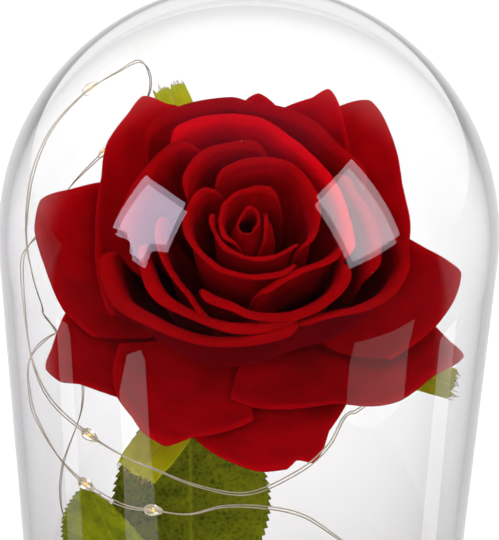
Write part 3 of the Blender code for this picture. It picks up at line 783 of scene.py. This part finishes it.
def make_dome():
    """The clear bell with a fire-polished foot."""
    inner = DOME_RADIUS - DOME_WALL
    round_ = DOME_WALL / 2
    turns = np.linspace(0, math.pi / 2, 49)
    rise = STEP_HEIGHT + DOME_GAP + round_
    outline = [(DOME_RADIUS * math.sin(a), DOME_CENTRE + DOME_RADIUS * math.cos(a)) for a in turns]
    outline[0] = (0.0, DOME_CENTRE + DOME_RADIUS)
    outline += [(DOME_RADIUS, h) for h in np.linspace(DOME_CENTRE, rise, 8)[1:]]
    lip = np.radians(np.linspace(0, -180, 13))[1:-1]
    outline += [(inner + round_ + round_ * math.cos(a), rise + round_ * math.sin(a)) for a in lip]
    top = DOME_CENTRE - DOME_TOP_EXTRA
    outline += [(inner, h) for h in np.linspace(rise, top, 8)[:-1]]
    outline += [(inner * math.sin(a), top + inner * math.cos(a)) for a in turns[::-1]]
    outline[-1] = (0.0, top + inner)
    settle(turned("dome", outline, 160, [GLASS]), "glass_dome")


def make_stem():
    """The wrapped wire stem."""
    points = through(STEM_PATH, 120)
    t = np.linspace(0, 1, len(points))
    radii = STEM_RADIUS * (0.97 + 0.03 * np.sin(t * 160))
    verts, faces = tube_arrays(points, radii, 20)
    settle(mesh_piece("stem_wrap", verts * MM, faces, [STEM]), "stem")


# The rose
def curled(distance, height, radius, turn, steps=12):
    """Rows of a sheet, as distances and heights, carried on past the last one round an outward curl."""
    heading = np.arctan2(height[-1] - height[-2], distance[-1] - distance[-2])
    k = (np.arange(steps) + 0.5)[:, None] / steps
    step = radius * turn / steps
    outward = distance[-1] + np.cumsum(np.cos(heading - turn * k) * step, axis=0)
    upward = height[-1] + np.cumsum(np.sin(heading - turn * k) * step, axis=0)
    return np.concatenate([distance, outward]), np.concatenate([height, upward])


def make_petal(name, lanes, angles, tops, curl, inset, seed):
    """One velvet petal, from its narrow foot up its lane to its curled rim. curl: its radius and turn."""
    middle = (angles[0] + angles[-1]) / 2
    rows = np.linspace(0, CURL_START, 27)[:, None]
    spread_ = np.minimum(1.0, rows / SPREAD_END)
    foot = OUTER_FOOT_WIDTH if "outer" in name else FOOT_WIDTH
    width = foot + (1 - foot) * spread_**2 * (3 - 2 * spread_)
    angle = middle + (angles[None, :] - middle) * width
    distance, height = meridian(smooth(lanes, angle), rows * tops[None, :])
    distance, height = curled(distance - inset * (rows / CURL_START) ** 1.5, height, *curl)
    more = len(distance) - len(rows)
    along = np.concatenate([rows, np.linspace(CURL_START, 1, more + 1)[1:, None]])
    angle = np.concatenate([angle, np.repeat(angle[-1:], more, axis=0)])
    u = np.linspace(0, 1, len(angles))[None, :]
    free = along**3
    span = math.radians(angles[-1] - angles[0])
    soft = waves(u * span, along, seed, 5, 1.6)
    fine = waves(u * span, along, seed + 50, 5, 5.0)
    distance = distance + free * (0.24 * soft + 0.06 * fine)
    height = height + free * (0.3 * waves(u * span, along, seed + 90, 4, 2.0) + 0.07 * fine)
    points = from_axis(angle, distance, height)
    uvs = np.stack([angle * distance * math.pi / 180, height], axis=-1)
    solid = name.replace("velvet_", "")
    kind = "outer" if "outer" in name else "front" if solid in FRONT_LIPS else "crown"
    start, length = PAINTED_SHADE_SPANS[kind]
    # Painted light and shade on the curled end of the petal
    rim = np.clip((along - PAINTED_CURL_START) / PAINTED_CURL_RISE, 0, 1) + 0 * angle
    # Painted shade deep among the petals, darkening toward the foot
    fold = np.clip((start - along) / length, 0, 1) + 0 * angle
    # Painted light: the outer petals and the crest take the brighter lit copy of the velvet
    cover = PAINTED_LIT_VELVET if "outer" in name or "crest" in name else VELVET
    made = grid_piece(name, points, [cover, EDGE], FABRIC, uvs, {"rim": rim, "fold": fold})
    settle(made, solid)


def make_petals():
    """Every petal, from the heart to the outer ring. A crown rim tapers off past the ends of its table."""
    for seed, (name, rim) in enumerate(CROWN_PETALS.items()):
        overrun = min(24.0, max(8.0, 210.0 / np.mean([r for _, r in rim])))
        first, last = rim[0][0] - overrun, rim[-1][0] + overrun
        middle, half = (first + last) / 2, (last - first) / 2
        angles = np.linspace(first, last, round((last - first) / CROWN_COLUMN) + 1)
        past = np.maximum(0.0, np.abs(angles - middle) - (half - 2 * overrun)) / (2 * overrun)
        radius = np.clip(0.055 * smooth(rim, angles) + 0.4, 0.6, 2.1) * LIP_SHARE.get(name, 1.0)
        inset = LIP_INSET.get(name, USUAL_INSET) * radius
        radius = radius * (1 - 0.85 * past**1.5)
        swing = CURL_SWING * waves(np.radians(angles), 0, seed + 130, 4, 1.2)
        turn = np.radians(CROWN_CURL + swing) * (1 - 0.5 * past)
        make_petal("velvet_" + name, rim, angles, 1.0 - RIM_DIP * past**3, (radius, turn), inset, seed)
    for seed, (name, (lanes, reach)) in enumerate(OUTER_PETALS.items(), start=20):
        first, last = reach[0][0], reach[-1][0]
        angles = np.linspace(first, last, round((last - first) / OUTER_COLUMN) + 1)
        straight = np.interp(angles, *np.array(reach, float).T)
        wanted = 0.45 * straight + 0.55 * smooth(reach, angles)
        tops = np.array([share_at(one, r) for one, r in zip(smooth(lanes, angles), wanted)])
        swing = CURL_SWING * waves(np.radians(angles), 0, seed + 130, 4, 1.5)
        turn = np.radians(OUTER_CURL + swing)
        curl = (OUTER_ARC / np.maximum(turn, 0.1), turn)
        make_petal("velvet_" + name, lanes, angles, tops, curl, 0.0, seed)


def make_bud():
    """The tight middle: a petal rolled into a cone with an open mouth, and a short one round its right."""
    turn = np.linspace(0, 420, 240)[None, :]
    angle = turn + 300
    rows = np.linspace(0, 1, 26)[:, None]
    back = 0.5 + 0.5 * np.sin(np.radians(angle - 5))
    height = 5.0 + (19.4 + 2.2 * back + 1.5 * back**6) * rows
    cone = smooth(((5, 1.2), (10, 3.6), (14, 4.8), (18, 4.6), (21, 3.7), (24, 2.6), (28, 1.6)), height)
    oval = 1 + 0.2 * np.cos(2 * np.radians(angle - 225)) * rows**3
    distance, height = curled(
        cone * (0.8 + 0.2 * turn / 420) * oval, height, 0.22 + 0.2 * back[0], math.radians(110)
    )
    points = from_axis(angle + 0 * height, distance, height)
    uvs = np.stack([angle * 0.06 + 0 * height, height], axis=-1)
    # Painted light and shade on the curled top of the bud, where the velvet's rim tone applies
    rim = np.concatenate([0 * rows, np.ones((len(height) - len(rows), 1))]) + 0 * height
    made = grid_piece("velvet_bud", points, [BUD_VELVET, EDGE], 0.34, uvs, {"rim": rim})
    settle(made, "bud")

    u = np.linspace(-1, 1, 120)[None, :]
    angle = 335 + 80 * u * (0.5 + 0.5 * rows)
    height = 6.0 + (19.8 - 8.0 * np.abs(u - 0.3) ** 1.7) * rows
    distance = smooth(((6, 2.6), (12, 5.0), (16, 5.6), (20, 5.2), (23, 4.3), (26, 3.2)), height)
    distance, height = curled(distance, height, 0.75 - 0.4 * u[0] ** 2, math.radians(105))
    angle = np.concatenate([angle, np.repeat(angle[-1:], len(height) - len(rows), axis=0)])
    uvs = np.stack([angle * 0.07, height], axis=-1)
    points = from_axis(angle, distance, height)
    extras = {"rim": rim[:, :120]}
    made = grid_piece("velvet_bud_wrap", points, [BUD_VELVET, EDGE], 0.36, uvs, extras)
    settle(made)


def make_calyx():
    """The cone and cup that hold the petals."""
    outline = [(0, -1.55), (0.6, -1.55)]
    outline += [(row[1][0] - 0.5, row[1][1] - 0.2) for row in LANES]
    outline += [(8.9, -22.6), (7.4, -25.2), (4.6, -28.0), (3.0, -30.0), (2.7, -31.5), (0, -31.5)]
    xs = np.arange(len(outline))
    fine = np.linspace(0, len(outline) - 1, 70)
    radius = smooth(list(zip(xs, [p[0] for p in outline])), fine)
    height = smooth(list(zip(xs, [p[1] for p in outline])), fine)
    radius[0] = radius[-1] = 0.0

    def place(verts):
        turn = np.degrees(np.arctan2(verts[:, 1], verts[:, 0]))
        distance = np.hypot(verts[:, 0], verts[:, 1]) / MM
        return from_axis(turn, distance, verts[:, 2] / MM)

    settle(turned("calyx_cup", list(zip(radius, height)), 64, [CALYX], place), "calyx")


def make_sepals():
    """Five cloth sepals with frayed ends."""
    for number, (middle, lane, half, reach) in enumerate(SEPALS, start=1):
        end = share_at(lane, reach)
        u = np.linspace(-1, 1, 41)[None, :]
        v = np.linspace(0, 1, 61)[:, None]
        rng = np.random.default_rng(300 + number)
        ragged = 1.0 + 0.005 * rng.standard_normal(41)[None, :] * v**8
        width = half * (0.55 + 0.9 * v - 0.95 * v * v)
        angle = middle + width * u + 0.25 * waves(v, 0 * v, 310 + number, 4, 6.0) * (np.abs(u) > 0.99)
        distance, height = meridian(lane, (0.06 + v * (end - 0.06)) * ragged + 0 * u)
        fold = np.exp(-((u / 0.12) ** 2)) * (0.2 + 0.8 * v)
        height = height - 0.45 * fold + 0.2 * waves(u, v, 320 + number) * v
        points = from_axis(angle, distance, height)
        uvs = np.stack([np.radians(angle) * distance, distance + 0 * angle], axis=-1)
        extras = {"vein": 0.6 * fold + 0 * angle}
        made = grid_piece(f"cloth_sepal_{number}", points, [SEPAL], SEPAL_FABRIC, uvs, extras)
        settle(made, f"sepal_{number}")
        strands = []
        for i in range(22):
            share = rng.uniform(-0.98, 0.98)
            column = int((share + 1) / 2 * 40)
            root = points[-1, column] / MM
            out = (points[-1, column] - points[-4, column]) / MM
            out = out / np.linalg.norm(out)
            sway = rng.standard_normal(3) * 0.22
            length = rng.uniform(0.5, 1.5)
            t = np.linspace(-0.3, 1, 7)[:, None]
            path = root + out * t * length + sway * t**2 * length
            strands.append(tube_arrays(path, 0.07, 5))
        verts, faces = joined(strands)
        settle(mesh_piece(f"fray_{number}", verts * MM, faces, [FRAY]))


# Leaves and light string
def make_leaves():
    """Two pressed cloth leaves with saw-cut edges, veins and a quilted relief."""
    stem = through(STEM_PATH, 60)
    for number, leaf in enumerate(LEAVES, start=1):
        foot, tip = np.array(leaf["foot"], float), np.array(leaf["tip"], float)
        along = tip - foot
        length = np.linalg.norm(along)
        face = np.array(leaf["face"], float)
        face = face - along * face.dot(along) / length**2
        face /= np.linalg.norm(face)
        across = np.cross(along, face)
        across /= np.linalg.norm(across)
        u = np.linspace(-1, 1, 121)[None, :]
        v = np.linspace(0, 1, 241)[:, None]
        half = leaf["half"]
        teeth = (v * length / TOOTH_SPACING) % 1.0
        width = half * np.sin(math.pi * (0.03 + 0.94 * v) ** 0.9) ** 0.75
        width = width + TOOTH_DEPTH * (1 - teeth) * np.abs(u) ** 14 - 0.35
        fold, bow = 0.12 * np.abs(u) * width, 2.5 * np.sin(math.pi * v)
        side = v * length - 0.55 * np.abs(u) ** 0.9 * width
        phase = (side / VEIN_SPACING) % 1.0
        near = np.minimum(phase, 1 - phase) * VEIN_SPACING
        inside = 1 - np.abs(u) ** 6
        rib = np.exp(-((u * width / 0.55) ** 2)) * (1 - 0.6 * v)
        vein = np.exp(-((near / 0.28) ** 2)) * np.clip(1.25 - np.abs(u), 0, 1) * (width > 1.5)
        pillow = np.sin(math.pi * phase) ** 0.8 * (1 - np.exp(-((u * width / 1.5) ** 2))) * inside
        puckers = waves(u * 4, v * 7, 400 + number, 9, 4.0) * inside
        relief = 0.55 * pillow - 0.4 * vein - 0.45 * rib + 0.28 * puckers
        points = (
            foot + along * v[..., None] + across * (u * width)[..., None]
            + face * (fold - bow + relief)[..., None]
        ) * MM
        uvs = np.stack([u * width, v * length + 0 * u], axis=-1)
        extras = {"vein": np.clip(rib + 0.45 * vein, 0, 1)}
        # Painted light and shade: leaf 1 takes the shaded cloth, leaf 2 the lit one
        cover = PAINTED_SHADED_LEAF if number == 1 else PAINTED_LIT_LEAF
        made = grid_piece(f"cloth_leaf_{number}", points, [cover], LEAF_FABRIC - 0.15, uvs, extras)
        settle(made, f"leaf_{number}")
        joint = stem[np.argmin(np.abs(stem[:, 2] - leaf["stalk"]))]
        out = (foot - joint) * np.array((1, 1, 0))
        start = joint + out / np.linalg.norm(out) * (STEM_RADIUS + STALK_RADIUS + 0.3)
        unit = along / length
        end = foot - unit * 0.6
        lead = end - unit * 9
        path = through([start, (start + lead) / 2, lead, end], 40)
        verts, faces = tube_arrays(path, np.linspace(1.0, 0.8, 40) * STALK_RADIUS, 14)
        made = mesh_piece(f"wrapped_stalk_{number}", verts * MM, faces, [STALK])
        settle(made, f"leaf_stalk_{number}")


def make_string():
    """The light string: two thin wires side by side, with a resin drop on each light."""
    path = through(STRING_ROUTE, 1300)
    _, side, lift = frames(path)
    t = np.linspace(0, 1, len(path))
    turn = 14.0 * np.sin(t * 9.0) + 24.0 * t
    apart = 0.21 + 0.10 * np.sin(t * 61.0) ** 2
    offset = (np.cos(turn) * apart)[:, None] * side + (np.sin(turn) * apart)[:, None] * lift
    verts, faces = joined([tube_arrays(path + way * offset, WIRE_RADIUS, 7) for way in (1, -1)])
    settle(mesh_piece("string_wires", verts * MM, faces, [WIRE]), "light_string")
    drops, chips = [], []
    for light in LIGHTS:
        i = int(np.argmin(np.linalg.norm(path - np.array(light, float), axis=1)))
        i = min(max(i, 8), len(path) - 9)
        tangent = path[i + 4] - path[i - 4]
        tangent /= np.linalg.norm(tangent)
        s = np.linspace(-1, 1, 25)
        radius = DROP_RADIUS * np.sqrt(np.clip(1 - s**2, 0, 1)) * (1 - 0.28 * s) + 0.02
        drops.append(tube_arrays(path[i] + tangent * (DROP_REACH * s)[:, None], radius, 20))
        chip = np.linspace(-0.42, 0.42, 4)
        body = np.array((0.05, 0.36, 0.36, 0.05))
        chips.append(tube_arrays(path[i] + side[i] * 0.12 + tangent * chip[:, None], body, 8))
    verts, faces = joined(drops)
    settle(mesh_piece("string_drops", verts * MM, faces, [RESIN]))
    verts, faces = joined(chips)
    settle(mesh_piece("string_chips", verts * MM, faces, [CHIP]))


# Light, floor and camera. A panel's corners are azimuths and elevations seen from the dome's centre
KEY_LIGHT = (0.0, -0.6, 0.8)
ROOM_LIGHT = (1.33, 2.1)
CAMERA_ELEVATION, CAMERA_DISTANCE = 28.0, 0.300
CAMERA_ROLL, CAMERA_YAW, CAMERA_TILT = -1.09, -0.06, -1.5
SENSOR_WIDTH = 36.0
FOCAL_PIXELS, PHOTO_PIXELS = 1345.0, 499.0
BOX_RIGHT = ((68.2, 45.2), (37.1, 39.6), (45.4, 10.1), (70.5, 11.1))
BOX_LEFT = (
    (-33.7, 36.6), (-61.6, 38.8), (-63.9, 15.1), (-56.5, 16.5), (-54.9, 14.2), (-53.6, 13.6),
    (-52.4, 9.6), (-45.9, 8.7), (-44.3, 16.6), (-37.1, 18.0),
)

# The low strips that only reflections show: each one's strength, then its corners
STRIPS = (
    (1.5, (-45.9, -28.3), (-50.8, -30.0), (-58.3, -33.6), (-57.9, -42.0), (-39.4, -42.0), (-43.7, -36.5)),
    (0.8, (75.1, -21.5), (46.0, -23.3), (45.8, -34.8), (76.2, -33.9)),
    (0.9, (-85.0, -28.0), (-93.0, -28.0), (-96.0, -45.0), (-84.0, -45.0)),
    (1.2, (107.0, -29.5), (96.0, -31.0), (98.3, -45.0), (112.0, -45.0)),
)


def panel(name, corners, strength, colour=(1.0, 1.0, 1.0), far=2.0, mirrored=False):
    """A glowing studio panel with its corners at the given (azimuth, elevation) seen from the dome."""
    spots = []
    for azimuth, elevation in corners:
        a, e = math.radians(azimuth), math.radians(elevation)
        level = far * math.cos(e)
        spots.append((level * math.sin(a), -level * math.cos(a), DOME_CENTRE * MM + far * math.sin(e)))
    mesh = bpy.data.meshes.new(name)
    mesh.from_pydata(spots, [], [tuple(range(len(spots)))])
    made = linked(name, mesh)
    glow = bpy.data.materials.new(name)
    glow.use_nodes = True
    tree = glow.node_tree
    tree.nodes.clear()
    light = node(tree, "ShaderNodeEmission", {"Color": rgb(*colour), "Strength": strength})
    out = tree.nodes.new("ShaderNodeOutputMaterial")
    tree.links.new(light.outputs[0], out.inputs[0])
    mesh.materials.append(glow)
    made.visible_camera = False
    if mirrored:
        made.visible_diffuse = made.visible_transmission = False


def lamp(name, spot, target, size, power):
    """A soft rectangular lamp aimed at the floor, hidden from the camera, from reflections and from rays
    through glass.
    """
    light = bpy.data.lights.new(name, "AREA")
    light.shape = "RECTANGLE"
    light.size, light.size_y = size
    light.energy = power
    made = linked(name, light)
    made.location = spot
    made.rotation_euler = (Vector(target) - Vector(spot)).to_track_quat("-Z", "Y").to_euler()
    made.visible_camera = made.visible_glossy = made.visible_transmission = False


def in_mirror(tree):
    """1 where light arrives by way of a mirror reflection, else 0."""
    depth = node(tree, "ShaderNodeLightPath").outputs["Glossy Depth"]
    return maths(tree, "GREATER_THAN", depth, 0.5)


def make_stage():
    """A pale floor with painted reflection shade in front, two softboxes in front, low strips, a lamp behind
    and a pale sky.
    """
    mesh = bpy.data.meshes.new("floor")
    ring = [(6 * math.cos(a), 6 * math.sin(a), 0.0) for a in np.linspace(0, math.tau, 64, endpoint=False)]
    mesh.from_pydata(ring, [], [tuple(range(64))])
    floor = linked("floor", mesh)
    pale, tree, shader = look("floor", {"Roughness": 0.9, "Specular IOR Level": 0.1})
    grain = noise(tree, place_of(tree), 40.0, 3.0)
    paper = mix(tree, grain, rgb(0.58, 0.58, 0.575), rgb(0.60, 0.60, 0.595))
    back = spread(tree, node(tree, "ShaderNodeSeparateXYZ", {0: place_of(tree)}).outputs[1], -0.02, 0.07)
    # Painted reflection shade: the floor in front turns near black for light that comes by way of a mirror
    # reflection, so the glass reflects a dark floor
    mirrored = maths(tree, "MULTIPLY", in_mirror(tree), maths(tree, "SUBTRACT", 1.0, back))
    tree.links.new(mix(tree, mirrored, paper, rgb(0.02, 0.02, 0.02)), shader.inputs["Base Color"])
    mesh.materials.append(pale)
    floor.visible_glossy = False
    panel("softbox_right", BOX_RIGHT, 5.3, (1.0, 0.92, 1.0))
    panel("softbox_left", BOX_LEFT, 7.2, (0.92, 0.80, 1.0))
    for number, (strength, *corners) in enumerate(STRIPS, start=1):
        panel(f"strip_{number}", corners, strength, mirrored=True)
    lamp("back_light", (0.0, 0.9, 0.9), (0.0, 0.42, 0.0), (1.2, 0.8), 5.0)
    world = bpy.data.worlds.new("room")
    bpy.context.scene.world = world
    world.use_nodes = True
    sky = world.node_tree
    where = place_of(sky, "Generated")
    parts = node(sky, "ShaderNodeSeparateXYZ", {0: where}).outputs
    ceiling = spread(sky, parts[2], 0.75, 0.98)
    seen = mix(sky, ceiling, rgb(0.004, 0.004, 0.005), rgb(0.11, 0.05, 0.10))
    seen = mix(sky, spread(sky, parts[1], 0.05, 0.6), seen, rgb(0.95, 0.95, 0.95))
    towards = node(
        sky, "ShaderNodeVectorMath", {0: where, 1: KEY_LIGHT}, operation="DOT_PRODUCT"
    ).outputs["Value"]
    open_sky = spread(sky, towards, 0.0, 0.95, *ROOM_LIGHT)
    tone = mix(sky, in_mirror(sky), open_sky, seen)
    sky.links.new(tone, sky.nodes["Background"].inputs["Color"])


def make_camera():
    """The camera at the photograph's place."""
    elevation = math.radians(CAMERA_ELEVATION)
    roll, yaw, tilt = (math.radians(a) for a in (CAMERA_ROLL, CAMERA_YAW, CAMERA_TILT))
    spot = Vector((0, -math.cos(elevation), math.sin(elevation))) * CAMERA_DISTANCE
    ahead = -spot.normalized()
    right = Vector((1, 0, 0))
    up = right.cross(ahead)
    turn = Matrix.Rotation(yaw, 3, up)
    ahead, right = turn @ ahead, turn @ right
    turn = Matrix.Rotation(tilt, 3, right)
    ahead, up = turn @ ahead, turn @ up
    turn = Matrix.Rotation(roll, 3, ahead)
    right, up = turn @ right, turn @ up
    matrix = Matrix((right, up, -ahead)).transposed().to_4x4()
    matrix.translation = spot + Vector((0, 0, DOME_CENTRE * MM))
    data = bpy.data.cameras.new("camera")
    data.sensor_width, data.sensor_fit = SENSOR_WIDTH, "HORIZONTAL"
    data.lens = SENSOR_WIDTH * FOCAL_PIXELS / PHOTO_PIXELS
    data.clip_start = 0.01
    made = linked("camera", data)
    made.matrix_world = matrix
    bpy.context.scene.camera = made


make_camera()
make_foot()
make_box()
make_dome()
make_stem()
make_calyx()
make_bud()
make_petals()
make_sepals()
make_leaves()
make_string()
make_stage()
bpy.context.scene.view_settings.view_transform = "Standard"

bpy.context.view_layer.update()
